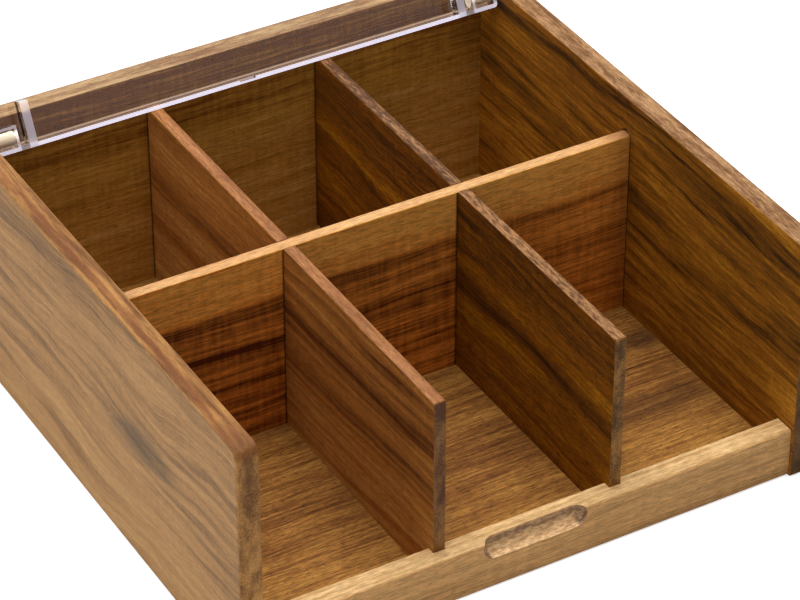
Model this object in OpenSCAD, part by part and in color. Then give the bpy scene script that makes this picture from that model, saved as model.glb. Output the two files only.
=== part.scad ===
// Tea bag organizer box: a wooden tray of six compartments with a clear hinged lid.
// Origin at the middle of the base, +X to the right, +Y to the back, +Z up.

/* [Box] */
// Outside width over both side panels
box_w = 242; // [210:1:300]
// Outside depth, from the front edge of the side panels to the back of the back panel
box_d = 236.5; // [200:0.5:300]
// Height of the side and back panels
box_h = 103; // [98:1:140]
// Thickness of the side panels
side_t = 9; // [8:0.5:12]
// Thickness of the back panel
back_t = 9; // [8:0.5:12]
// Radius of the rounded front top corner of each side panel
corner_r = 6; // [3:0.5:14]
// Radius worked onto the outer edges of the panels
edge_r = 1; // [0.5:0.25:2]
// Small radius that takes the sharpness off the inner edges
ease_r = 0.5; // [0.3:0.1:0.8]

/* [Bottom panel] */
// Thickness of the bottom panel, which lies flush with the underside of the frame
bottom_t = 6.5; // [4:0.5:8]
// Width of the rabbet that holds the bottom panel in the frame
rabbet_w = 4.5; // [3:0.5:5]

/* [Front rail] */
// Height of the low front rail
rail_h = 21; // [16:0.5:30]
// Thickness of the front rail
rail_t = 9; // [8:0.5:12]
// How far the front rail sits back from the front edges of the side panels
rail_setback = 1.5; // [1:0.5:3]
// Length of the finger scoop over its round ends
scoop_len = 44; // [30:1:60]
// Radius of the round cutter that makes the finger scoop
scoop_r = 5.4; // [4.5:0.1:6.5]
// Height of the rail's top above the middle of the scoop's round section
scoop_drop = 2.4; // [1.5:0.1:3.5]
// Distance from the rail's front face out to the middle of the scoop's round section
scoop_out = 1; // [0.5:0.1:2]

/* [Dividers] */
// Height of the dividers above the floor of the box
divider_h = 81; // [60:1:86]
// Thickness of the dividers
divider_t = 5; // [4:0.5:7]
// Depth of the slots in the side and back panels that hold the dividers
dado_depth = 3; // [2:0.5:4]
// Distance from the top of a divider down to the middle of its slots' round ends
dado_stop = 1; // [0:0.25:1]
// Depth of the notches in the front rail that hold the dividers
notch_depth = 3.5; // [2:0.5:4]
// Space for glue on each side of a divider in its slots
glue_gap = 0.1; // [0.05:0.05:0.2]

/* [Lid] */
// Angle between the closed lid and the lid as it is drawn here
lid_open = 117; // [0:1:130]
// Space between each end of the lid and the side panel
lid_gap = 1.2; // [0.8:0.1:2]
// Thickness of the lid's top and front walls
lid_t = 2.5; // [2:0.1:3]
// Depth of the rim below the lid's top wall
rim_h = 5.2; // [4.5:0.1:6]
// Space between the rim behind the closed lid's front wall and the dividers
drop_rim_gap = 0.5; // [0.2:0.1:1]
// Thickness of the lid's rim
rim_t = 1.5; // [1.2:0.1:2.6]
// Outer radius of the bend between the lid's top and front walls
bend_r = 8; // [6:0.5:14]
// Radius of the lid's two rear corners
lid_corner_r = 1.5; // [1:0.5:2]
// Space between the closed lid's front wall and the top of the front rail
rail_gap = 0.5; // [0.3:0.1:1]
// Distance of the closed lid's top below the top of the box
lid_drop = 0.45; // [0:0.05:1]
// Width of the dip in the rear rim's inner face, where the moulding was gated
gate_w = 7; // [5:1:12]
// Depth of that dip
gate_depth = 0.7; // [0.4:0.1:1]
// Height of that dip, measured from the rim's edge
gate_h = 2; // [1:0.5:4]
// Distance of that dip from the middle of the lid, towards the left
gate_x = 3; // [0:1:10]

/* [Hinge] */
// Diameter of the hinge pins
pin_d = 5.5; // [4:0.5:6]
// Diameter of the lid's hinge bores minus the diameter of the pins
pin_play = 0.1; // [0.05:0.05:0.2]
// Depth of each pin in its side panel
pin_seat = 6; // [4:0.5:6.5]
// Distance from the hinge axis to the lid's rear edge
hinge_rear = 5; // [4.5:0.1:6.5]
// Space between the rear edge of the closed lid and the back panel
rear_gap = 4.3; // [3:0.1:5]
// Width of the hollow hinge block at each rear corner of the lid
lug_w = 10.8; // [9:0.1:16]
// Thickness of the inner and front walls of the hinge block
lug_wall = 1; // [0.8:0.1:2]
// Thickness of the rib beside each hinge block
rib_t = 3.4; // [2:0.1:4]
// Space between the rib and the hinge block
rib_gap = 3.6; // [2.5:0.1:5]
// Length of the rib, measured from the lid's rear edge
rib_len = 18; // [14:1:30]

/* [Dowels] */
// Diameter of the dowels that join the frame
dowel_d = 4; // [3:0.5:4.5]
// Length of one dowel
dowel_len = 18; // [14:1:24]
// Depth of one dowel in its side panel
dowel_seat = 6; // [4:0.5:6.5]
// Number of dowels in each end of the back panel
back_dowel_count = 3; // [2:1:4]
// Distance from the lowest and highest dowel to the ends of the back panel's glue joint
dowel_margin = 14; // [12:1:20]

/* [Hidden] */
$fn = 48;

over = 1; // cutting bodies reach this far past the faces they cut
columns = 3; // compartments across the box

inner_w = box_w - 2 * side_t;
front_y = -box_d / 2;
back_out_y = box_d / 2;
back_in_y = back_out_y - back_t;
rail_out_y = front_y + rail_setback;
rail_in_y = rail_out_y + rail_t;
inner_d = back_in_y - rail_in_y;
divider_start_y = rail_in_y - notch_depth + glue_gap;
floor_z = bottom_t;

divider_top = floor_z + divider_h;
lap_z = floor_z + divider_h / 2; // where the two kinds of divider lap over each other
cross_y = (rail_in_y + back_in_y) / 2;
column_x = inner_w / columns / 2; // middle plane of each long divider
slot_w = divider_t + 2 * glue_gap;

lid_h = lid_t + rim_h;
lid_w = inner_w - 2 * lid_gap;
axis_y = back_in_y - rear_gap - hinge_rear;
axis_z = box_h - lid_drop - lid_h / 2;
lid_top = lid_h / 2; // the rest of the lid's places are measured from the hinge axis
lid_front = rail_out_y - axis_y;
lid_bottom = rail_h + rail_gap - axis_z;
// the rim behind the front wall comes down in front of the dividers
drop_rim_h = divider_start_y - rail_out_y - lid_t - drop_rim_gap;
lug_front = -hinge_rear; // the hinge block is as long in front of the axis as behind it
bore_d = pin_d + pin_play;
pin_len = pin_seat + lid_gap + lug_w;
dowel_z_low = floor_z + dowel_margin;
dowel_z_step = (box_h - lid_h - dowel_margin - dowel_z_low) / (back_dowel_count - 1);

wood_light = [0.72, 0.52, 0.32];
wood_mid = [0.56, 0.37, 0.2];
wood_red = [0.6, 0.36, 0.22];
wood_pale = [0.85, 0.66, 0.42];
dowel_color = [0.86, 0.76, 0.62];
clear_color = [0.85, 0.9, 0.95, 0.4];

// ---------- shapes that several pieces share ----------

// What a round-over takes off a corner at the origin, seen from the corner towards +X +Y
module round_over(r) {
  difference() {
    translate([-over, -over]) square(r + over);
    translate([r, r]) circle(r);
  }
}

// Rectangle with its own radius at each corner: [bottom left, bottom right, top right, top left]
module eased_rect(size, radii) {
  corners = [[0, 0], [size.x, 0], size, [0, size.y]];
  difference() {
    square(size);
    for (i = [0:3]) translate(corners[i]) rotate(90 * i) round_over(radii[i]);
  }
}

// Space that the bottom panel takes up; down lowers it, so that it can cut the frame
module bottom_seat(down = 0) {
  translate([-inner_w / 2 - rabbet_w, rail_in_y - rabbet_w, -down])
    cube([inner_w + 2 * rabbet_w, inner_d + 2 * rabbet_w, bottom_t + down]);
}

// Stopped slot for a divider's end: it opens towards +X, its bottom is at the floor,
// and the cutter leaves its round end above the divider
module stopped_dado() {
  translate([0, -slot_w / 2, floor_z - over])
    cube([dado_depth + over, slot_w, divider_h - dado_stop + over]);
  translate([0, 0, divider_top - dado_stop]) rotate([0, 90, 0]) cylinder(d = slot_w, h = dado_depth + over);
}

// Calls its children at both long dividers' places
module at_columns() {
  for (side = [-1, 1]) translate([side * column_x, 0, 0]) children();
}

// Dowels along X from the side panel's inner face at x = 0; extra widens them into their bores
module back_dowel_row(extra = 0) {
  for (i = [0:back_dowel_count - 1])
    translate([-dowel_seat - extra, back_out_y - back_t / 2, dowel_z_low + i * dowel_z_step])
      rotate([0, 90, 0]) cylinder(d = dowel_d + extra, h = dowel_len + 2 * extra);
}

module rail_dowel(extra = 0) {
  translate([-dowel_seat - extra, rail_in_y - rail_t / 2, (floor_z + rail_h) / 2])
    rotate([0, 90, 0]) cylinder(d = dowel_d + extra, h = dowel_len + 2 * extra);
}

// Puts children, drawn at the left side panel's inner face, at the left or the right one
module at_side(side) {
  if (side < 0) translate([-inner_w / 2, 0, 0]) children();
  else mirror([1, 0, 0]) translate([-inner_w / 2, 0, 0]) children();
}

// ---------- frame ----------

// Side panel drawn to the left of its inner face at x = 0
module side_panel() {
  difference() {
    intersection() {
      // outline seen from the side, with the large front top corner
      rotate([90, 0, 90]) translate([front_y, 0, -side_t])
        linear_extrude(side_t) eased_rect([box_d, box_h], [edge_r, edge_r, edge_r, corner_r]);
      // section across the panel
      translate([-side_t, back_out_y, 0]) rotate([90, 0, 0])
        linear_extrude(box_d) eased_rect([side_t, box_h], [edge_r, 0, ease_r, edge_r]);
      // plan of the panel
      translate([-side_t, front_y, 0])
        linear_extrude(box_h) eased_rect([side_t, box_d], [edge_r, ease_r, 0, edge_r]);
    }
    translate([inner_w / 2, 0, 0]) bottom_seat(down = over);
    translate([-dado_depth, cross_y, 0]) stopped_dado();
    translate([-pin_seat, axis_y, axis_z]) rotate([0, 90, 0]) cylinder(d = pin_d, h = pin_seat + over);
    back_dowel_row(glue_gap);
    rail_dowel(glue_gap);
  }
}

module left_side_panel() {
  color(wood_light) at_side(-1) side_panel();
}

module right_side_panel() {
  color(wood_light) at_side(1) side_panel();
}

module back_panel() {
  color(wood_mid)
    difference() {
      translate([-inner_w / 2, back_in_y, 0]) rotate([90, 0, 90])
        linear_extrude(inner_w) eased_rect([back_t, box_h], [0, edge_r, edge_r, ease_r]);
      bottom_seat(down = over);
      at_columns() translate([0, back_in_y + dado_depth, 0]) rotate([0, 0, -90]) stopped_dado();
      for (side = [-1, 1]) at_side(side) back_dowel_row(glue_gap);
    }
}

module front_rail() {
  scoop_reach = scoop_len / 2 - scoop_r;
  color(wood_pale)
    difference() {
      translate([-inner_w / 2, rail_out_y, 0]) rotate([90, 0, 90])
        linear_extrude(inner_w) eased_rect([rail_t, rail_h], [edge_r, 0, ease_r, edge_r]);
      bottom_seat(down = over);
      at_columns() translate([-slot_w / 2, rail_in_y - notch_depth, floor_z - over])
        cube([slot_w, notch_depth + over, rail_h]);
      translate([0, rail_out_y - scoop_out, rail_h - scoop_drop]) {
        rotate([0, 90, 0]) cylinder(r = scoop_r, h = 2 * scoop_reach, center = true);
        for (side = [-1, 1]) translate([side * scoop_reach, 0, 0]) sphere(scoop_r);
      }
      for (side = [-1, 1]) at_side(side) rail_dowel(glue_gap);
    }
}

module bottom_panel() {
  color(wood_mid) bottom_seat();
}

module back_dowels() {
  color(dowel_color) for (side = [-1, 1]) at_side(side) back_dowel_row();
}

module rail_dowels() {
  color(dowel_color) for (side = [-1, 1]) at_side(side) rail_dowel();
}

// ---------- dividers ----------

// One divider across the box. Its slots open downwards and straddle the long dividers.
module cross_divider() {
  length = inner_w + 2 * (dado_depth - glue_gap);
  color(wood_mid)
    difference() {
      translate([-length / 2, cross_y - divider_t / 2, floor_z]) rotate([90, 0, 90])
        linear_extrude(length) eased_rect([divider_t, divider_h], [0, 0, ease_r, ease_r]);
      at_columns() translate([-slot_w / 2, cross_y - divider_t, floor_z - over])
        cube([slot_w, 2 * divider_t, lap_z - floor_z + over + glue_gap]);
    }
}

// Divider from the front rail to the back panel. Its slot opens upwards.
module long_divider() {
  length = back_in_y + dado_depth - glue_gap - divider_start_y;
  difference() {
    intersection() {
      translate([-divider_t / 2, divider_start_y + length, floor_z]) rotate([90, 0, 0])
        linear_extrude(length) eased_rect([divider_t, divider_h], [0, 0, ease_r, ease_r]);
      translate([-divider_t / 2, divider_start_y, floor_z])
        linear_extrude(divider_h) eased_rect([divider_t, length], [ease_r, ease_r, 0, 0]);
      rotate([90, 0, 90]) translate([divider_start_y, floor_z, -divider_t / 2])
        linear_extrude(divider_t) eased_rect([length, divider_h], [0, 0, 0, 2 * ease_r]);
    }
    translate([-divider_t, cross_y - slot_w / 2, lap_z - glue_gap])
      cube([2 * divider_t, slot_w, divider_h]);
  }
}

module left_long_divider() {
  color(wood_red) translate([-column_x, 0, 0]) long_divider();
}

module right_long_divider() {
  color(wood_red) translate([column_x, 0, 0]) long_divider();
}

// ---------- hinge and lid ----------

module hinge_pin() {
  translate([-pin_seat, axis_y, axis_z]) rotate([0, 90, 0]) cylinder(d = pin_d, h = pin_len);
}

module left_hinge_pin() {
  color(dowel_color) at_side(-1) hinge_pin();
}

module right_hinge_pin() {
  color(dowel_color) at_side(1) hinge_pin();
}

// Section of the closed lid in the Y-Z plane, measured from the hinge axis:
// a wall top_t thick behind the hinge to the front, and one drop_t thick down to the rail
module lid_section(top_t, drop_t) {
  length = hinge_rear - lid_front;
  height = lid_top - lid_bottom;
  inner_r = max(bend_r - max(top_t, drop_t), 0.5);
  translate([lid_front, lid_bottom])
    difference() {
      eased_rect([length, height], [0, 0, 0, bend_r]);
      translate([drop_t, -over])
        eased_rect([length - drop_t + over, height - top_t + over], [0, 0, 0, inner_r]);
    }
}

// Hollow block round the pin, at the lid's left end x = 0
module hinge_lug() {
  difference() {
    translate([0, lug_front, lid_top - lid_h]) cube([lug_w, hinge_rear - lug_front, lid_h]);
    translate([rim_t, lug_front + lug_wall, lid_top - lid_h - over])
      cube([lug_w - rim_t - lug_wall, hinge_rear - rim_t - lug_front - lug_wall, lid_h - lid_t + over]);
  }
}

module lid_rib() {
  translate([lug_w + rib_gap, hinge_rear - rib_len, lid_top - lid_h]) cube([rib_t, rib_len, lid_h]);
}

module lid_half_details() {
  // rim along the end of the lid
  rotate([90, 0, 90]) linear_extrude(rim_t) lid_section(lid_h, lid_t + drop_rim_h);
  hinge_lug();
  lid_rib();
}

// Closed lid with the hinge axis along X through the origin
module closed_lid() {
  difference() {
    intersection() {
      union() {
        translate([-lid_w / 2, 0, 0]) rotate([90, 0, 90]) linear_extrude(lid_w) lid_section(lid_t, lid_t);
        translate([-lid_w / 2, 0, 0]) lid_half_details();
        mirror([1, 0, 0]) translate([-lid_w / 2, 0, 0]) lid_half_details();
        // rims along the rear edge and along the lower edge of the front wall
        translate([-lid_w / 2, hinge_rear - rim_t, lid_top - lid_h]) cube([lid_w, rim_t, lid_h]);
        translate([-lid_w / 2, lid_front, lid_bottom]) cube([lid_w, lid_t + drop_rim_h, rim_t]);
      }
      translate([-lid_w / 2, lid_front, lid_bottom - over])
        linear_extrude(lid_top - lid_bottom + 2 * over)
          eased_rect([lid_w, hinge_rear - lid_front], [0, 0, lid_corner_r, lid_corner_r]);
    }
    for (side = [-1, 1]) translate([side * lid_w / 2, 0, 0]) rotate([0, -side * 90, 0])
      translate([0, 0, -over]) cylinder(d = bore_d, h = lug_w + 2 * over);
    translate([-gate_x - gate_w / 2, hinge_rear - rim_t - over, lid_top - lid_h - over])
      cube([gate_w, gate_depth + over, gate_h + over]);
  }
}

module clear_lid() {
  color(clear_color) translate([0, axis_y, axis_z]) rotate([-lid_open, 0, 0]) closed_lid();
}

left_side_panel();
right_side_panel();
back_panel();
front_rail();
bottom_panel();
cross_divider();
left_long_divider();
right_long_divider();
back_dowels();
rail_dowels();
left_hinge_pin();
right_hinge_pin();
clear_lid();
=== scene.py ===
"""Looks for the tea bag organizer box: solid wood boards, a moulded clear lid and a white studio."""

import math
from dataclasses import dataclass

import bpy
from mathutils import Euler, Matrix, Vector


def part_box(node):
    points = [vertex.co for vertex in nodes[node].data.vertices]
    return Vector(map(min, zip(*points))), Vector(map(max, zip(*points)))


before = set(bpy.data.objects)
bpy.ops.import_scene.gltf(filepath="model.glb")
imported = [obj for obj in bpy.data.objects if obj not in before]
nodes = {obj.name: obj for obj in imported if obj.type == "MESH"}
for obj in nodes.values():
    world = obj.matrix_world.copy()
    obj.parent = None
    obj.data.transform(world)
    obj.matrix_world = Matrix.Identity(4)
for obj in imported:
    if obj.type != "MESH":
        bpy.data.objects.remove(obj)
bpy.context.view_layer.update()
scene = bpy.context.scene
scene.view_settings.view_transform = "Standard"

MM = 1000.0  # millimetres in a metre

# ---------- camera ----------

CAMERA_PLACE = (-0.53815, -0.95111, 0.83365)  # metres
CAMERA_TURN = (54.314, 0.053, -30.026)  # degrees about X, Y and Z
CAMERA_LENS, CAMERA_SENSOR = 159.67, 36.0  # focal length and width of the sensor, mm
CAMERA_NEAR, CAMERA_FAR = 0.01, 50.0  # metres


def add_camera():
    data = bpy.data.cameras.new("camera")
    data.sensor_width = CAMERA_SENSOR
    data.lens = CAMERA_LENS
    data.clip_start = CAMERA_NEAR
    data.clip_end = CAMERA_FAR
    camera = bpy.data.objects.new("camera", data)
    camera.location = CAMERA_PLACE
    camera.rotation_euler = Euler([math.radians(angle) for angle in CAMERA_TURN], "XYZ")
    scene.collection.objects.link(camera)
    scene.camera = camera


# ---------- building materials from nodes ----------

def linear(colour):
    """A colour written as 0-255 sRGB values turned into Blender's linear values."""
    scaled = [c / 255 for c in colour]
    return tuple(c / 12.92 if c <= 0.04045 else ((c + 0.055) / 1.055) ** 2.4 for c in scaled)


class Graph:
    """The nodes of a material or world. An input may be given a number, a tuple or an output socket."""

    def __init__(self, owner):
        self.owner = owner
        owner.use_nodes = True
        self.tree = owner.node_tree
        self.tree.nodes.clear()

    def node(self, kind, inputs=None, **settings):
        made = self.tree.nodes.new("ShaderNode" + kind)
        for key, value in settings.items():
            setattr(made, key, value)
        for key, value in (inputs or {}).items():
            self.feed(made.inputs[key], value)
        return made

    def feed(self, socket, value):
        if isinstance(value, bpy.types.NodeSocket):
            self.tree.links.new(value, socket)
        elif socket.type == "RGBA" and len(value) == 3:
            socket.default_value = (*value, 1.0)
        else:
            socket.default_value = value

    def math(self, operation, *values):
        made = self.node("Math", operation=operation)
        for socket, value in zip(made.inputs, values):
            self.feed(socket, value)
        return made.outputs[0]

    def add(self, a, b):
        return self.math("ADD", a, b)

    def minus(self, a, b):
        return self.math("SUBTRACT", a, b)

    def times(self, a, b):
        return self.math("MULTIPLY", a, b)

    def larger(self, a, b):
        return self.math("MAXIMUM", a, b)

    def below(self, a, b):
        """1 where a is less than b, 0 elsewhere."""
        return self.math("LESS_THAN", a, b)

    def apart(self, value, place):
        """How far value is from place, either way."""
        return self.math("ABSOLUTE", self.add(value, -place))

    def span(self, value, low, high, out_low=0.0, out_high=1.0):
        """Smooth step: value from low to high becomes out_low to out_high. High may be less than low."""
        inputs = {"Value": value, "From Min": low, "From Max": high, "To Min": out_low, "To Max": out_high}
        return self.node("MapRange", inputs, interpolation_type="SMOOTHSTEP").outputs[0]

    def vector(self, x, y, z):
        return self.node("CombineXYZ", {"X": x, "Y": y, "Z": z}).outputs[0]

    def split(self, vector):
        """The outputs X, Y and Z of a vector."""
        return self.node("SeparateXYZ", {"Vector": vector}).outputs

    def split_in_mm(self, vector):
        """The outputs X, Y and Z in millimetres of a vector in metres."""
        scaled = self.node("VectorMath", {0: vector, "Scale": MM}, operation="SCALE")
        return self.split(scaled.outputs[0])

    def length(self, vector):
        return self.node("VectorMath", {0: vector}, operation="LENGTH").outputs["Value"]

    def dot(self, vector, way):
        return self.node("VectorMath", {0: vector, 1: way}, operation="DOT_PRODUCT").outputs["Value"]

    def noise(self, point, cells, detail, roughness):
        """Noise around 0.5. The three parts of the point and the three sizes of a cell are in mm."""
        x, y, z = (self.times(part, 1 / cell) for part, cell in zip(point, cells))
        inputs = {"Vector": self.vector(x, y, z), "Scale": 1.0, "Detail": detail, "Roughness": roughness}
        return self.node("TexNoise", inputs).outputs["Fac"]

    def swing(self, noise, amount):
        """Noise around 0.5 turned into a swing around 0, by up to amount either way."""
        return self.times(self.add(noise, -0.5), amount * 2)

    def stir(self, tone, noises, amounts):
        """The tone with the swings of some noises added."""
        for noise, amount in zip(noises, amounts):
            tone = self.add(tone, self.swing(noise, amount))
        return tone

    def ramp(self, value, stops, interpolation="LINEAR"):
        """Value from 0 to 1 turned into a grey or a colour. Stops are (place, grey or linear colour)."""
        made = self.node("ValToRGB", {"Fac": value})
        made.color_ramp.interpolation = interpolation
        elements = made.color_ramp.elements
        while len(elements) < len(stops):
            elements.new(0.5)
        for element, (place, colour) in zip(elements, stops):
            element.position = place
            element.color = (*colour, 1.0) if isinstance(colour, tuple) else (colour, colour, colour, 1.0)
        return made.outputs[0]

    def mix(self, factor, a, b, blend="MIX"):
        """A mix of two colours. The Mix node's sockets 6 and 7 and its output 2 are those for colours."""
        made = self.node("Mix", data_type="RGBA", blend_type=blend)
        self.feed(made.inputs[0], factor)
        self.feed(made.inputs[6], a)
        self.feed(made.inputs[7], b)
        return made.outputs[2]

    def between(self, factor, colours):
        """From the first to the second of two 0-255 colours."""
        first, second = (linear(colour) for colour in colours)
        return self.mix(factor, first, second)

    def stain(self, colour, amount, tint):
        """The colour turned towards a tint, which is a 0-255 colour."""
        return self.mix(amount, colour, linear(tint))

    def finish(self, shader, output="OutputMaterial"):
        self.node(output, {"Surface": shader})
        return self.owner


# ---------- studio ----------

FLOOR_REACH = 6.0  # from the middle to the floor's sides, metres
FLOOR_COLOUR = (0.8, 0.8, 0.8)
GLOW_AT_BOX = 0.6  # the floor's own glow next to the box; far away it is 1, which is white
GLOW_NEAR, GLOW_FAR = 0.6, 2.0  # distances from the middle between which it rises, metres
WORLD_LIGHT = 0.05  # the world's light on the box
WORLD_MIRRORED = 0.17  # and as it is mirrored in the box
LAMP_TARGET = (0.0, 0.0, 0.05)  # the place in the box that all lamps point at

# name: (place, size, watts)
LAMPS = {
    "overhead": ((0.0, 0.0, 1.6), (1.0, 1.0), 25),
    "overhead_back": ((0.0, 1.0, 1.3), (1.0, 1.0), 5),
    "left_fill": ((-1.3, 0.0, 0.95), (1.0, 1.0), 8),
}


def seen(g, path):
    """1 on the camera's rays, also on those that went through the clear lid; 0 on all others."""
    return g.larger(path["Is Camera Ray"], path["Is Transmission Ray"])


def add_floor():
    mesh = bpy.data.meshes.new("floor")
    corners = [(-1, -1), (1, -1), (1, 1), (-1, 1)]
    mesh.from_pydata([(x * FLOOR_REACH, y * FLOOR_REACH, 0.0) for x, y in corners], [], [(0, 1, 2, 3)])
    floor = bpy.data.objects.new("floor", mesh)
    scene.collection.objects.link(floor)
    g = Graph(bpy.data.materials.new("studio_floor"))
    diffuse = g.node("BsdfDiffuse", {"Color": FLOOR_COLOUR}).outputs[0]
    away = g.length(g.node("TexCoord").outputs["Object"])
    level = g.span(away, GLOW_NEAR, GLOW_FAR, GLOW_AT_BOX, 1.0)
    strength = g.times(seen(g, g.node("LightPath").outputs), level)
    glow = g.node("Emission", {"Strength": strength}).outputs[0]
    both = g.node("AddShader", {0: diffuse, 1: glow})
    mesh.materials.append(g.finish(both.outputs[0]))


def add_world():
    g = Graph(bpy.data.worlds.new("studio"))
    path = g.node("LightPath").outputs
    mirrored = g.times(path["Is Glossy Ray"], WORLD_MIRRORED)
    strength = g.larger(g.larger(seen(g, path), mirrored), WORLD_LIGHT)
    scene.world = g.finish(g.node("Background", {"Strength": strength}).outputs[0], "OutputWorld")


def add_lamp(name, place, size, watts):
    data = bpy.data.lights.new(name, "AREA")
    data.shape = "RECTANGLE"
    data.size, data.size_y = size
    data.energy = watts
    lamp = bpy.data.objects.new(name, data)
    lamp.location = place
    lamp.rotation_euler = (Vector(LAMP_TARGET) - Vector(place)).to_track_quat("-Z", "Y").to_euler()
    scene.collection.objects.link(lamp)


# ---------- wood ----------

@dataclass
class Board:
    """What one board's wood looks like. Lengths are in millimetres, colours are 0-255."""

    grain: str  # axis that the grain runs along
    width: str  # axis that the tones vary over
    face: list  # colours of the broad faces: darkest lines, body and palest streaks
    edge: list  # colours of the long narrow faces: dark and pale
    end: list  # colours of the end grain: dark and pale
    bands: list  # (place on the width axis, tone from 0 dark to 1 pale), lowest place first
    seed: int  # keeps the board's pattern apart from the others
    wave: float  # how far the streaks wander
    spacing: float  # distance between growth rings
    ring: float  # how dark the ring lines are
    streak: float  # how much tone the streaks change
    line: float  # how much tone the fine lines change
    tilt: float = 0.0  # how far the streaks drift over the width, per length
    slant: float = 1.0  # how far the growth rings lean across the thickness
    length: float = 1.0  # how long the streaks and lines are
    curl: float = 0.06  # how much tone the ripples across the grain change
    pore: float = 0.35  # how dark the pores are
    fibre: float = 0.22  # how much the fibres vary in brightness
    edge_look: tuple = (1.0, 0.5, 0.6)  # how much tone clouds, dashes and threads change on edges
    face_fade: float = 0.0  # tone gained on faces per FADE_LENGTH along the grain
    edge_fade: float = 0.0  # the same on the edges
    end_fade: float = 0.0  # tone gained on end grain per FADE_LENGTH over the width
    seams: tuple = ()  # middles of the boards let into this one
    seam_axis: str = "X"  # the axis that those middles are on
    seam_side: int = 0  # which way the face with the seams looks; 0 is both
    seam_top: float = 200.0  # height at which the seams end
    extra: object = None  # function that changes the colour in some places

    def depth(self):
        """The axis through the board's thickness."""
        return ({"X", "Y", "Z"} - {self.grain, self.width}).pop()


SEED_STEP = 613.0  # mm along the grain from one seed's pattern to the next one's
FADE_LENGTH = 100.0  # mm

# Noises in the solid wood: cells in mm, detail and roughness. The cells are given along the grain,
# over the width and through the thickness; for end grain they are over, through and along.
SLOW = ((90, 40, 40), 2.0, 0.5)  # moves the streaks slowly over the board
QUICK = ((16, 7, 7), 2.0, 0.5)  # and a little from fibre to fibre
RIPPLES = ((2.2, 16, 16), 1.0, 0.5)  # these go over the rings instead of the width
CLOUDS = ((30, 5, 3.5), 3.0, 0.6)
DASHES = ((5, 1.2, 1.2), 2.0, 0.6)
BLOTCHES = ((11, 7, 9), 3.0, 0.6)
SPECKLE = ((0.9, 0.9, 9), 2.0, 0.6)
FIBRES = ((4.5, 0.5, 0.5), 3.0, 0.65)
PORES = ((2.4, 0.5, 0.5), 1.0, 0.5)

# Noises over the growth rings: cells in mm along the grain and over the rings, cells from one
# seed's pattern to the next one's, detail and roughness.
UNEVEN = (400, 22, 1.7, 2.0, 0.5)
STRENGTH = (120, 11, 5.3, 2.0, 0.5)
STREAKS = (220, 4, 7.7, 7.0, 0.65)
LINES = (45, 0.9, 3.1, 3.0, 0.6)
THREADS = (130, 1.8, 1.0, 3.0, 0.6)

SLOW_WAVE, QUICK_WAVE = 2.0, 0.25  # how far the two noises move the streaks, in waves of the board
UNEVEN_TURNS = 3.0  # how many rings the uneven noise can shift the ring lines by
LATE_WOOD = [(0.0, 0.2), (0.08, 0.0), (0.6, 0.1), (0.93, 1.0), (1.0, 0.2)]  # place in a ring, darkness
RING_SHOWS = (0.35, 0.7)  # noise where a ring line starts to show and where it shows fully
THREAD_DRIFT = 0.5  # how much of the streaks' drift the threads on the edges follow
TONE_ENDS = (-0.5, 0.5)  # tones of the dark and the pale colour on edges and end grain
EDGE_TURN = (0.7, 0.95)  # how far a surface looks along the width where edges start and are full
END_TURN = (0.5, 0.8)  # and along the grain where end grain starts and is full
END_LOOK = (1.1, 0.4)  # how much tone blotches and speckle change on end grain
FIBRE_TONES = (0.3, 0.7)  # noise of the darkest and of the palest fibres
PORE_RIM = (0.6, 0.72)  # noise where a pore starts and where it is full

SEAM_REACH = 2.55  # half the thickness of a divider, mm
SEAM_FADE = 1.1  # how far a glue line and the painted corner shade beside it fade out beyond it, mm
# how dark a glue line gets; next to the let-in board it is partly painted corner shade
SEAM_SHADE = 0.88
SEAM_TURN = (0.9, 0.98)  # how far a surface looks through the thickness where seams start and are full

ROUGH_FIBRES = (0.25, 0.75)  # noise of the smoothest and of the roughest fibres
WOOD_ROUGHNESS = (0.55, 0.68)  # and their roughness
WOOD_SPECULAR = 0.18
FIBRE_RELIEF = 0.4  # height of the fibres, where a pore is 1 deep
WOOD_BUMP = {"Strength": 0.25, "Distance": 0.00012}


class BoardPoint:
    """A point on a board: sockets for where it lies, in mm, and for which way the surface looks."""

    def __init__(self, g, board):
        coords = g.node("TexCoord").outputs
        facing = g.node("VectorMath", {0: coords["Normal"]}, operation="ABSOLUTE")
        self.normal = g.split(coords["Normal"])
        self.ways = g.split(facing.outputs[0])
        self.parts = g.split_in_mm(coords["Object"])
        self.along = self.parts[board.grain]
        self.over = self.parts[board.width]
        self.through = self.parts[board.depth()]
        self.point = (g.add(self.along, board.seed * SEED_STEP), self.over, self.through)

        # where the point lies across the streaks, which wander, and across the growth rings
        slow = g.swing(g.noise(self.point, *SLOW), board.wave * SLOW_WAVE)
        quick = g.swing(g.noise(self.point, *QUICK), board.wave * QUICK_WAVE)
        self.drift = g.add(slow, quick)
        self.across = g.add(g.add(self.over, g.times(self.along, board.tilt)), self.drift)
        self.ring = g.add(self.across, g.times(self.through, board.slant))
        self.run = g.times(self.point[0], 1 / board.length)


def long_noise(g, board, at, over, kind):
    """A noise drawn out along the grain, over the rings or over another part of the point."""
    along_cell, over_cell, seed_step, detail, roughness = kind
    return g.noise((at.run, over, board.seed * seed_step), (along_cell, over_cell, 1), detail, roughness)


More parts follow.
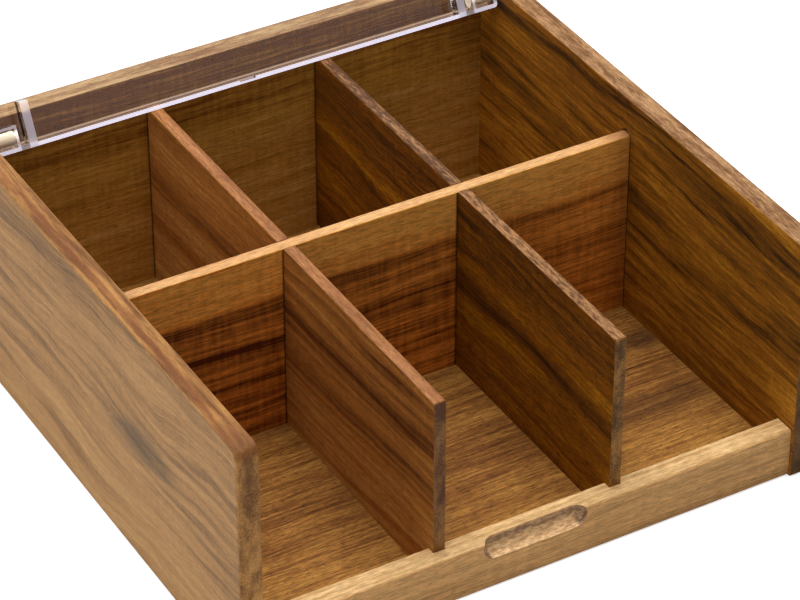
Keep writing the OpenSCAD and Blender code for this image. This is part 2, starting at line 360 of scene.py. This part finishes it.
def face_colour(g, board, at):
    """Broad faces: tones over the board's width, then growth rings, streaks, fine lines and ripples."""
    low, high = board.bands[0][0], board.bands[-1][0]
    share = g.node("MapRange", {"Value": at.across, "From Min": low, "From Max": high}).outputs[0]
    bands = [((place - low) / (high - low), level) for place, level in board.bands]
    tone = g.add(g.ramp(share, bands, "B_SPLINE"), g.times(at.along, board.face_fade / FADE_LENGTH))
    uneven = g.times(long_noise(g, board, at, at.ring, UNEVEN), UNEVEN_TURNS)
    turn = g.add(g.times(at.ring, 1 / board.spacing), uneven)
    late = g.ramp(g.math("FRACT", turn), LATE_WOOD, "EASE")
    strength = g.span(long_noise(g, board, at, at.ring, STRENGTH), *RING_SHOWS)
    tone = g.add(tone, g.times(g.times(late, strength), -board.ring))
    streaks = long_noise(g, board, at, at.ring, STREAKS)
    lines = long_noise(g, board, at, at.ring, LINES)
    ripples = g.noise((at.point[0], at.ring, at.through), *RIPPLES)
    tone = g.stir(tone, (streaks, lines, ripples), (board.streak, board.line, board.curl))
    dark, body, pale = (linear(colour) for colour in board.face)
    return g.ramp(tone, [(0.0, dark), (0.5, body), (1.0, pale)])


def edge_colour(g, board, at):
    """Long narrow faces: clouds, dashes and threads along the grain."""
    clouds = g.noise(at.point, *CLOUDS)
    dashes = g.noise(at.point, *DASHES)
    over = g.add(at.through, g.times(at.drift, THREAD_DRIFT))
    threads = long_noise(g, board, at, over, THREADS)
    tone = g.times(at.along, board.edge_fade / FADE_LENGTH)
    tone = g.stir(tone, (clouds, dashes, threads), board.edge_look)
    return g.between(g.span(tone, *TONE_ENDS), board.edge)


def end_colour(g, board, at):
    """End grain: blotches and speckle."""
    point = (at.over, at.through, at.point[0])
    middle = (board.bands[0][0] + board.bands[-1][0]) / 2
    tone = g.times(g.add(at.over, -middle), board.end_fade / FADE_LENGTH)
    tone = g.stir(tone, (g.noise(point, *BLOTCHES), g.noise(point, *SPECKLE)), END_LOOK)
    return g.between(g.span(tone, *TONE_ENDS), board.end)


def add_glue_and_corner_shade(g, board, at, shade):
    """The shade with dark glue lines where other boards are let in, partly painted shade in the corners
    beside them.
    """
    if board.seam_side:
        turned = g.times(at.normal[board.depth()], board.seam_side)
    else:
        turned = at.ways[board.depth()]
    flat = g.span(turned, *SEAM_TURN)
    for place in board.seams:
        away = g.apart(at.parts[board.seam_axis], place)
        glue_and_shade = g.times(flat, g.span(away, SEAM_REACH, SEAM_REACH + SEAM_FADE, SEAM_SHADE, 0.0))
        glue_and_shade = g.times(glue_and_shade, g.below(at.parts["Z"], board.seam_top))
        shade = g.times(shade, g.minus(1.0, glue_and_shade))
    return shade


def wood(name, board):
    g = Graph(bpy.data.materials.new(name))
    at = BoardPoint(g, board)
    colour = face_colour(g, board, at)
    colour = g.mix(g.span(at.ways[board.width], *EDGE_TURN), colour, edge_colour(g, board, at))
    colour = g.mix(g.span(at.ways[board.grain], *END_TURN), colour, end_colour(g, board, at))

    # fibres and pores: short dark dashes along the grain, dots on the end grain
    fibre = g.noise(at.point, *FIBRES)
    pores = g.span(g.noise(at.point, *PORES), *PORE_RIM)
    shade = g.span(fibre, *FIBRE_TONES, 1 - board.fibre, 1 + board.fibre)
    shade = g.times(shade, g.minus(1.0, g.times(pores, board.pore)))
    shade = add_glue_and_corner_shade(g, board, at, shade)
    if board.extra:
        colour = board.extra(g, colour, at.parts, at.ways)
    colour = g.mix(1.0, colour, g.vector(shade, shade, shade), "MULTIPLY")

    roughness = g.span(fibre, *ROUGH_FIBRES, *WOOD_ROUGHNESS)
    relief = g.minus(g.times(fibre, FIBRE_RELIEF), pores)
    bump = g.node("Bump", {"Height": relief, **WOOD_BUMP}).outputs[0]
    surface = {
        "Base Color": colour,
        "Roughness": roughness,
        "Specular IOR Level": WOOD_SPECULAR,
        "Normal": bump,
    }
    return g.finish(g.node("BsdfPrincipled", surface).outputs[0])


# ---------- places that differ from the rest of their board ----------
# Each function changes a board's colour. It is given the point's X, Y and Z in mm as parts, and how
# far the surface looks along these axes, either way, as ways.

SCOOP_REACH = 16.6  # half the length of the scoop's straight stretch, mm
SCOOP_RADIUS = 5.4
SCOOP_OUT, SCOOP_DROP = 1.0, 2.4  # how far its middle lies before the rail's front and below its top
SCOOP_MARGIN = 0.08  # how far the look goes beyond the scoop's surface, mm
SCOOP_COVER = 0.85  # how much of the rail's own colour it hides
BACK_TURN = (0.4, 0.1)  # how far a surface looks up where the steep back starts and is full
BACK_SCORCH_AND_SHADE = 0.8  # how dark the steep back is made, partly router scorch and partly painted shade; the ends are fully so
ENDS_TURN = (0.2, 0.5)  # how far a surface looks along X where the ends start and are full
SCOOP_MOTTLE = ((3, 1.2, 1.2), 3.0, 0.6)  # cells in mm along X, Y and Z, detail and roughness
# brown-grey: router scorch on the ends, scorch and painted shade on the steep back
SCORCH_AND_SHADE = [(104, 82, 64), (196, 160, 126)]
SCORCH_AND_SHADE_TONES = (0.35, 0.65)  # noise of its dark and of its pale colour
SMOOTH = [(206, 158, 110), (244, 202, 150)]
SMOOTH_TONES = (0.4, 0.6)


def scoop_scorch_and_shade(g, colour, parts, ways):
    """The router left the scoop's steep back and ends brown-grey, the steep back partly painted shade as
    well, and its floor a little pink.
    """
    rail_low, rail_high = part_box("front_rail")
    beyond = g.larger(g.minus(g.math("ABSOLUTE", parts["X"]), SCOOP_REACH), 0.0)
    out = g.minus(parts["Y"], rail_low[1] * MM - SCOOP_OUT)
    up = g.minus(parts["Z"], rail_high[2] * MM - SCOOP_DROP)
    inside = g.below(g.length(g.vector(beyond, out, up)), SCOOP_RADIUS + SCOOP_MARGIN)
    back = g.times(g.span(ways["Z"], *BACK_TURN), BACK_SCORCH_AND_SHADE)
    ends = g.span(ways["X"], *ENDS_TURN)
    mottle = g.noise((parts["X"], parts["Y"], parts["Z"]), *SCOOP_MOTTLE)
    scorch_and_shade = g.between(g.span(mottle, *SCORCH_AND_SHADE_TONES), SCORCH_AND_SHADE)
    smooth = g.between(g.span(mottle, *SMOOTH_TONES), SMOOTH)
    inner = g.mix(g.larger(back, ends), smooth, scorch_and_shade)
    return g.mix(g.times(inside, SCOOP_COVER), colour, inner)


SMOKE_Y = -42  # middle of the cloud along Y, mm
SMOKE_Z = 51  # height of its middle line at Y 0, mm
SMOKE_FALL = 0.12  # how far that line falls, per length along Y
SMOKE_LONG, SMOKE_HIGH = 26, 8  # the cloud's size along Y and up, mm
SMOKE_NOISE = ((24, 6, 1), 3.0, 0.6)  # cells in mm along Y and Z, detail and roughness
SMOKE_LAYER = 4.0  # the layer of that noise which is used
SMOKE_WANDER = 1.5  # how far the noise moves the cloud's outline along Y, in its sizes
SMOKE_WANDER_UP = 0.7  # and up, as a share of that
SMOKE_RIM = (1.5, 0.2)  # where the cloud starts and is full, in its sizes from its middle
SMOKE_SIDE = 0.8  # how far a surface looks along X at least where the cloud is
SMOKE_COVER = 0.7
SMOKE_COLOUR = (104, 86, 66)
LINE_FRONT, LINE_REAR = (-118, -120.5), (-76, -116.8)  # Y and X of the line's middle at its ends, mm
LINE_WANDER = 0.35  # how far the same wandering moves the line sideways, mm
LINE_TURN = (0.8, 0.95)  # how far a surface looks up where the line starts and is full
LINE_OUTER, LINE_INNER = (-3.4, 0.0), (1.1, 0.1)  # where its sides start and are full, from its middle
LINE_COVER = 0.6
LINE_COLOUR = (128, 74, 40)
FRONT_STRETCH = (-92.0, -112.0)  # places along Y where the brown front starts and is full
FRONT_TURN = (0.15, 0.5)  # how far a surface looks up where it starts and is full
FRONT_COVER = 0.7
FRONT_COLOUR = (120, 72, 40)


def smoke_and_line(g, colour, parts, ways):
    """The left panel: a grey-brown cloud in its outer face, a red-brown line and a brown front on top."""
    noise = g.noise((parts["Y"], parts["Z"], SMOKE_LAYER), *SMOKE_NOISE)
    wander = g.swing(noise, SMOKE_WANDER)
    over = g.add(g.times(g.add(parts["Y"], -SMOKE_Y), 1 / SMOKE_LONG), wander)
    level = g.add(g.add(parts["Z"], g.times(parts["Y"], SMOKE_FALL)), -SMOKE_Z)
    up = g.add(g.times(level, 1 / SMOKE_HIGH), g.times(wander, SMOKE_WANDER_UP))
    cloud = g.span(g.length(g.vector(over, up, 0.0)), *SMOKE_RIM)
    cloud = g.times(cloud, g.math("GREATER_THAN", ways["X"], SMOKE_SIDE))
    colour = g.stain(colour, g.times(cloud, SMOKE_COVER), SMOKE_COLOUR)

    track = g.span(parts["Y"], LINE_FRONT[0], LINE_REAR[0], LINE_FRONT[1], LINE_REAR[1])
    off = g.minus(parts["X"], g.add(track, g.times(wander, LINE_WANDER)))
    line = g.math("MINIMUM", g.span(off, *LINE_OUTER), g.span(off, *LINE_INNER))
    line = g.times(line, g.span(ways["Z"], *LINE_TURN))
    colour = g.stain(colour, g.times(line, LINE_COVER), LINE_COLOUR)

    front = g.times(g.span(parts["Y"], *FRONT_STRETCH), g.span(ways["Z"], *FRONT_TURN))
    return g.stain(colour, g.times(front, FRONT_COVER), FRONT_COLOUR)


FLOOR_PATCHES = [(106, -24, 14, 7, 0.75), (88, -62, 32, 9, 0.5)]  # X, Y, sizes along both, cover
PATCH_NOISE = ((12, 4, 1), 3.0, 0.6)  # cells in mm along X and Y, detail and roughness
PATCH_LAYER = 2.0  # the layer of that noise which is used
PATCH_WANDER = 0.8  # how far the noise moves a patch's outline, in its sizes
PATCH_RIM = (1.4, 0.3)  # where a patch starts and is full, in its sizes from its middle
PATCH_COLOUR = (72, 42, 16)


def floor_patches(g, colour, parts, ways):
    """Two darker patches in the bottom panel, right of the right divider."""
    wander = g.swing(g.noise((parts["X"], parts["Y"], PATCH_LAYER), *PATCH_NOISE), PATCH_WANDER)
    for x, y, wide, deep, cover in FLOOR_PATCHES:
        over = g.add(g.times(g.add(parts["X"], -x), 1 / wide), wander)
        back = g.add(g.times(g.add(parts["Y"], -y), 1 / deep), wander)
        patch = g.span(g.length(g.vector(over, back, 0.0)), *PATCH_RIM)
        colour = g.stain(colour, g.times(patch, cover), PATCH_COLOUR)
    return colour


PANEL_FACE = 112.0  # distance of a side panel's inner face from the middle, mm
CROSS_PLACE = 0.75  # middle of the cross divider along Y, mm
SLOT_SKIN, SLOT_END = 0.05, 116.0  # depth at which the slot's look starts, X at which it ends, mm
SLOT_MARGIN = 0.15  # how far it reaches on each side beyond SEAM_REACH, mm
SLOT_TOP = 92.0  # mm
# painted shade inside the slot
SLOT_SHADE_COLOUR = (48, 26, 8)


def slot_painted_shade(g, colour, parts, ways):
    """The slot for the cross divider is dark inside: painted shade."""
    deep = g.math("GREATER_THAN", parts["X"], PANEL_FACE + SLOT_SKIN)
    near = g.below(g.apart(parts["Y"], CROSS_PLACE), SEAM_REACH + SLOT_MARGIN)
    low = g.below(parts["Z"], SLOT_TOP)
    slot = g.times(g.times(deep, near), g.times(low, g.below(parts["X"], SLOT_END)))
    return g.stain(colour, slot, SLOT_SHADE_COLOUR)


BROWN_STRETCH = (14.0, 0.5)  # distances from a side panel where the brown starts and is full, mm
BROWN_TURN = (0.5, 0.9)  # how far a surface looks up, for the cover of the faces and of the top
BROWN_COVER = (0.35, 0.75)
# brown of the glue stain and of the painted shade
STAIN_AND_SHADE_BROWN = (120, 66, 26)


def ends_stain_and_shade(g, colour, parts, ways):
    """The cross divider turns brown next to the side panels, mostly on its top: partly glue stain, partly
    painted shade where it meets them.
    """
    to_panel = g.minus(PANEL_FACE, g.math("ABSOLUTE", parts["X"]))
    cover = g.span(ways["Z"], *BROWN_TURN, *BROWN_COVER)
    return g.stain(colour, g.times(g.span(to_panel, *BROWN_STRETCH), cover), STAIN_AND_SHADE_BROWN)


# ---------- the box's boards ----------

COLUMN = 37.33  # distance of the long dividers from the middle, mm

BOARDS = {
    "left_side_panel": Board(
        grain="Y", width="Z", face=[(96, 74, 52), (182, 136, 86), (210, 164, 108)],
        edge=[(112, 70, 36), (179, 128, 71)], end=[(124, 80, 41), (216, 156, 86)],
        bands=[(0, 0.7), (10, 0.66), (24, 0.56), (46, 0.48), (52, 0.56), (58, 0.42), (66, 0.52),
               (72, 0.46), (84, 0.66), (94, 0.4), (103, 0.38)],
        seed=1, tilt=0.03, wave=5.0, spacing=16, ring=0.18, streak=0.88, line=0.22, slant=1.4,
        pore=0.3, fibre=0.16, length=0.5, edge_look=(1.1, 0.2, 0.9), extra=smoke_and_line),
    "right_side_panel": Board(
        grain="Y", width="Z", face=[(54, 28, 2), (141, 86, 13), (200, 138, 39)],
        edge=[(120, 81, 48), (183, 140, 98)], end=[(80, 52, 24), (130, 90, 44)],
        bands=[(0, 0.5), (12, 0.6), (22, 0.55), (32, 0.63), (46, 0.62), (52, 0.3), (58, 0.48),
               (69, 0.36), (79, 0.6), (87, 0.4), (96, 0.28), (103, 0.5)],
        seed=2, tilt=-0.02, wave=3.0, spacing=9, ring=0.28, streak=0.95, line=0.4, pore=0.5,
        fibre=0.3, length=0.35, edge_look=(1.0, 0.8, 0.4), extra=slot_painted_shade,
        seams=(CROSS_PLACE,), seam_axis="Y", seam_side=-1, seam_top=88),
    "back_panel": Board(
        grain="X", width="Z", face=[(100, 54, 4), (172, 125, 46), (208, 168, 94)],
        edge=[(126, 87, 54), (180, 147, 102)], end=[(120, 80, 40), (170, 120, 64)],
        # paler low down and darker towards the top: partly the wood's own tone, partly painted light and
        # shade
        bands=[(0, 0.68), (36, 0.68), (45, 0.54), (60, 0.62), (66, 0.5), (72, 0.36), (80, 0.2),
               (88, 0.1), (103, 0.0)],
        seed=3, wave=2.0, spacing=8, ring=0.15, streak=0.5, line=0.35, curl=0.14, length=0.6,
        edge_look=(0.8, 0.6, 0.7), seams=(-COLUMN, COLUMN), seam_side=-1, seam_top=88),
    "front_rail": Board(
        grain="X", width="Z", face=[(150, 106, 58), (224, 170, 106), (248, 204, 138)],
        edge=[(184, 138, 82), (246, 206, 148)], end=[(150, 106, 58), (200, 150, 92)],
        bands=[(0, 0.4), (12, 0.45), (19, 0.5), (21, 0.55)],
        seed=4, wave=1.2, spacing=6, ring=0.15, streak=0.4, line=0.3, pore=0.24,
        edge_look=(0.25, 0.38, 0.6), extra=scoop_scorch_and_shade),
    "bottom_panel": Board(
        grain="X", width="Y", face=[(64, 29, 5), (131, 83, 33), (178, 127, 58)],
        edge=[(90, 56, 24), (150, 104, 50)], end=[(90, 56, 24), (140, 96, 46)],
        bands=[(-118, 0.85), (-98, 0.85), (-84, 0.76), (-68, 0.53), (-50, 0.46), (-34, 0.53),
               (-18, 0.64), (0, 0.72), (118, 0.6)],
        seed=5, wave=1.6, spacing=6, ring=0.16, streak=0.5, line=0.8, pore=0.62, fibre=0.44,
        length=0.5, extra=floor_patches),
    "cross_divider": Board(
        grain="X", width="Z", face=[(88, 34, 2), (221, 138, 52), (255, 184, 86)],
        edge=[(192, 134, 82), (228, 180, 123)], end=[(120, 72, 30), (170, 110, 50)],
        bands=[(6, 0.5), (20, 0.34), (32, 0.45), (40, 0.3), (46, 0.24), (49.4, 0.12), (50.8, 0.58),
               (57, 0.36), (63, 0.34), (67.2, 0.1), (68.6, 0.8), (84, 0.94)],
        seed=6, wave=1.8, spacing=7, ring=0.18, streak=0.68, line=0.45, curl=0.2, pore=0.24,
        fibre=0.28, face_fade=0.1, edge_look=(0.5, 0.25, 0.4), seams=(-COLUMN, COLUMN),
        extra=ends_stain_and_shade),
    "left_long_divider": Board(
        grain="Y", width="Z", face=[(82, 37, 7), (172, 111, 48), (214, 166, 94)],
        edge=[(128, 79, 43), (176, 119, 73)], end=[(98, 58, 33), (160, 113, 61)],
        bands=[(6, 0.76), (22, 0.76), (30, 0.6), (37, 0.6), (41, 0.18), (46, 0.5), (54, 0.48),
               (58, 0.52), (61, 0.02), (66, 0.5), (74, 0.36), (84, 0.42)],
        seed=7, tilt=0.04, wave=2.4, spacing=11, ring=0.22, streak=0.66, line=0.2, pore=0.42,
        fibre=0.26, length=0.8, edge_look=(0.6, 0.5, 0.7), end_fade=-0.8, face_fade=0.12),
    "right_long_divider": Board(
        grain="Y", width="Z", face=[(46, 20, 1), (124, 70, 2), (186, 129, 10)],
        edge=[(87, 56, 33), (161, 115, 73)], end=[(92, 60, 26), (176, 124, 60)],
        bands=[(6, 0.42), (14, 0.5), (22, 0.58), (30, 0.6), (44, 0.52), (49, 0.12), (53, 0.68),
               (60, 0.52), (67, 0.33), (76, 0.28), (84, 0.33)],
        seed=8, tilt=-0.02, wave=3.5, spacing=11, ring=0.18, streak=0.58, line=0.36, pore=0.65,
        fibre=0.42, length=0.5, edge_look=(0.95, 1.4, 0.75), edge_fade=-0.35),
}

# ---------- dowels and pins ----------

# cells in mm along X, Y and Z, detail and roughness
BIRCH_FIBRES = ((1 / 0.12, 1 / 2.2, 1 / 2.2), 3.0, 0.5)
BIRCH_TONES = [(0.3, (224, 200, 168)), (0.7, (246, 228, 200))]  # (noise, colour)
BIRCH_ROUGHNESS = 0.6
BIRCH_BUMP = {"Strength": 0.2, "Distance": 0.0001}


def pale_wood():
    """Pale wood like birch, for the dowels and pins."""
    g = Graph(bpy.data.materials.new("pale_wood"))
    parts = g.split_in_mm(g.node("TexCoord").outputs["Object"])
    fibre = g.noise((parts["X"], parts["Y"], parts["Z"]), *BIRCH_FIBRES)
    colour = g.ramp(fibre, [(place, linear(tone)) for place, tone in BIRCH_TONES])
    bump = g.node("Bump", {"Height": fibre, **BIRCH_BUMP}).outputs[0]
    inputs = {"Base Color": colour, "Roughness": BIRCH_ROUGHNESS, "Normal": bump}
    return g.finish(g.node("BsdfPrincipled", inputs).outputs[0])


# ---------- clear lid ----------
# Lengths are in mm. Depths are measured from the hinge axis, square to the lid's top wall, towards the
# side that looks down when the lid is closed.

LID_ANGLE = 117.0  # how far the lid stands open as it is drawn, degrees
SQUARE_ON = (0.8, 0.95)  # how far a surface looks the rim edge's way where its painted glow starts and is full
RIM_EDGE = 3.85  # depth of the rim's edge
EDGE_START, EDGE_FULL = 0.5, 0.3  # how far before it its painted glow starts and is full
HINGE_REAR = 5.0  # from the hinge axis to the lid's rear edge
REAR_START, REAR_FULL = 2.4, 1.6  # from the rear edge, where the glow starts to rise and is full
REAR_GLOW = (0.4, 0.85)
BLOCK_INSET = 10.8  # from the lid's side to the inner end of the hinge block
RIB_INSET, RIB_END = 14.4, 17.8  # and to the two sides of the rib
STRETCHES = [(0.0, 0.72), (BLOCK_INSET, 0.2), (RIB_INSET, 0.68), (RIB_END, 1.0)]  # inset, painted glow from there
INSET_RANGE = 20.0  # beyond this inset the glow stays the same
GATE_PLACE, GATE_REACH, GATE_DROP = -3.0, 3.6, 2.0  # middle, half width and depth of the rim's dip
GATE_FADE, GATE_GLOW = 0.3, 0.45  # how far the frosted dip fades out, and how much painted glow it gets
BEND_PLACE = 3.0  # from the hinge axis back to the bend that gets a painted highlight
BEND_GLINT = (0.5, 0.2)  # from that bend, where the glint starts and is full
BEND_GLOW = 0.22
LID_COLOUR = (0.97, 0.97, 0.99)
LID_IOR = 1.49
LID_ROUGHNESS = (0.02, 0.5)  # of the clear walls and of the frosted edges
# colours of the painted highlight on the bend and of the rim's painted glow
PAINTED_GLINT_COLOUR, RIM_GLOW_COLOUR = (1.0, 0.7, 0.5), (0.83, 0.81, 0.98)
WALL_PASSES, RIM_PASSES = (0.88, 0.88, 0.88), (0.35, 0.35, 0.35)  # light let through into the shadow


def clear_plastic():
    """Clear moulded plastic. The edges of the rim and ribs are frosted and given a painted glow by
    emission.
    """
    g = Graph(bpy.data.materials.new("clear_plastic"))
    coords = g.node("TexCoord").outputs
    low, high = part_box("left_hinge_pin")
    axis = Vector((0.0, (low[1] + high[1]) / 2, (low[2] + high[2]) / 2))
    turn = math.radians(LID_ANGLE)
    rimward = Vector((0.0, -math.sin(turn), -math.cos(turn)))
    rearward = Vector((0.0, math.cos(turn), -math.sin(turn)))

    def distance(way):
        return g.times(g.add(g.dot(coords["Object"], way), -axis.dot(way)), MM)

    depth, rear = distance(rimward), distance(rearward)
    sideways = g.times(g.split(coords["Object"])["X"], MM)
    square_on = g.span(g.dot(coords["Normal"], rimward), *SQUARE_ON)

    # the rim's edge and the frosted dip in it
    at_edge = g.span(depth, RIM_EDGE - EDGE_START, RIM_EDGE - EDGE_FULL)
    in_gate = g.below(g.apart(sideways, GATE_PLACE), GATE_REACH)
    gate_floor = RIM_EDGE - GATE_DROP
    dip = g.times(in_gate, g.span(depth, gate_floor - GATE_FADE, gate_floor, 0.0, GATE_GLOW))
    at_edge = g.larger(at_edge, dip)
    frost_and_glow = g.times(square_on, at_edge)

    # how bright the painted glow is: most along the rear edge, and least between hinge block and rib
    painted_glow = g.span(rear, HINGE_REAR - REAR_START, HINGE_REAR - REAR_FULL, *REAR_GLOW)
    inset = g.minus(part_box("clear_lid")[1][0] * MM, g.math("ABSOLUTE", sideways))
    stretches = [(place / INSET_RANGE, glow) for place, glow in STRETCHES]
    painted_glow = g.times(painted_glow, g.ramp(g.times(inset, 1 / INSET_RANGE), stretches, "CONSTANT"))

    # a faint painted highlight along the bend, by emission
    painted_glint = g.times(g.span(g.apart(rear, BEND_PLACE), *BEND_GLINT), square_on)
    painted_glint = g.times(painted_glint, g.below(depth, 0.0))

    surface = {
        "Base Color": LID_COLOUR,
        "IOR": LID_IOR,
        "Transmission Weight": 1.0,
        "Roughness": g.span(frost_and_glow, 0.0, 1.0, *LID_ROUGHNESS),
        "Emission Color": g.mix(frost_and_glow, PAINTED_GLINT_COLOUR, RIM_GLOW_COLOUR),
        "Emission Strength": g.add(g.times(frost_and_glow, painted_glow), g.times(painted_glint, BEND_GLOW)),
    }
    plastic = g.node("BsdfPrincipled", surface).outputs[0]
    passing = g.node("BsdfTransparent", {"Color": g.mix(at_edge, WALL_PASSES, RIM_PASSES)}).outputs[0]
    in_shadow = g.node("LightPath").outputs["Is Shadow Ray"]
    return g.finish(g.node("MixShader", {0: in_shadow, 1: plastic, 2: passing}).outputs[0])


# ---------- everything together ----------

def dress(name, material):
    mesh = nodes[name].data
    mesh.materials.clear()
    mesh.materials.append(material)


add_camera()
add_floor()
add_world()
for name, (place, size, watts) in LAMPS.items():
    add_lamp(name, place, size, watts)
for name, board in BOARDS.items():
    dress(name, wood(name + "_wood", board))
birch = pale_wood()
for name in ("back_dowels", "rail_dowels", "left_hinge_pin", "right_hinge_pin"):
    dress(name, birch)
dress("clear_lid", clear_plastic())
